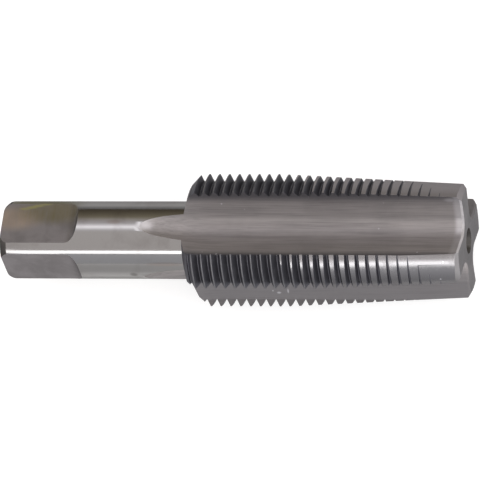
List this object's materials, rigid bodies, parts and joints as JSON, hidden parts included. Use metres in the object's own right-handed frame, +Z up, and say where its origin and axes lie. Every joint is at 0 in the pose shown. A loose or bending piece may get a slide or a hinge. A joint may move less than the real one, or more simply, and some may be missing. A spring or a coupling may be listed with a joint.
{
  "type": "thread tap",
  "caption": "Hand tap with a square drive, a round shank and a fluted right-hand thread body that tapers to a chamfered tip.",
  "frame": {"origin": "on the resting surface, under the middle of the tap's length", "axes": "+X along the axis towards the cutting tip, +Z up, with one flute facing straight up"},
  "size_m": [0.07, 0.0178, 0.0178],
  "materials": {
    "tool_steel": "ground and milled tool steel, oiled, with dark thread flanks and brown stains on the square"
  },
  "bodies": {
    "root": {"thread_tap": "tool_steel"}
  },
  "joints": []
}
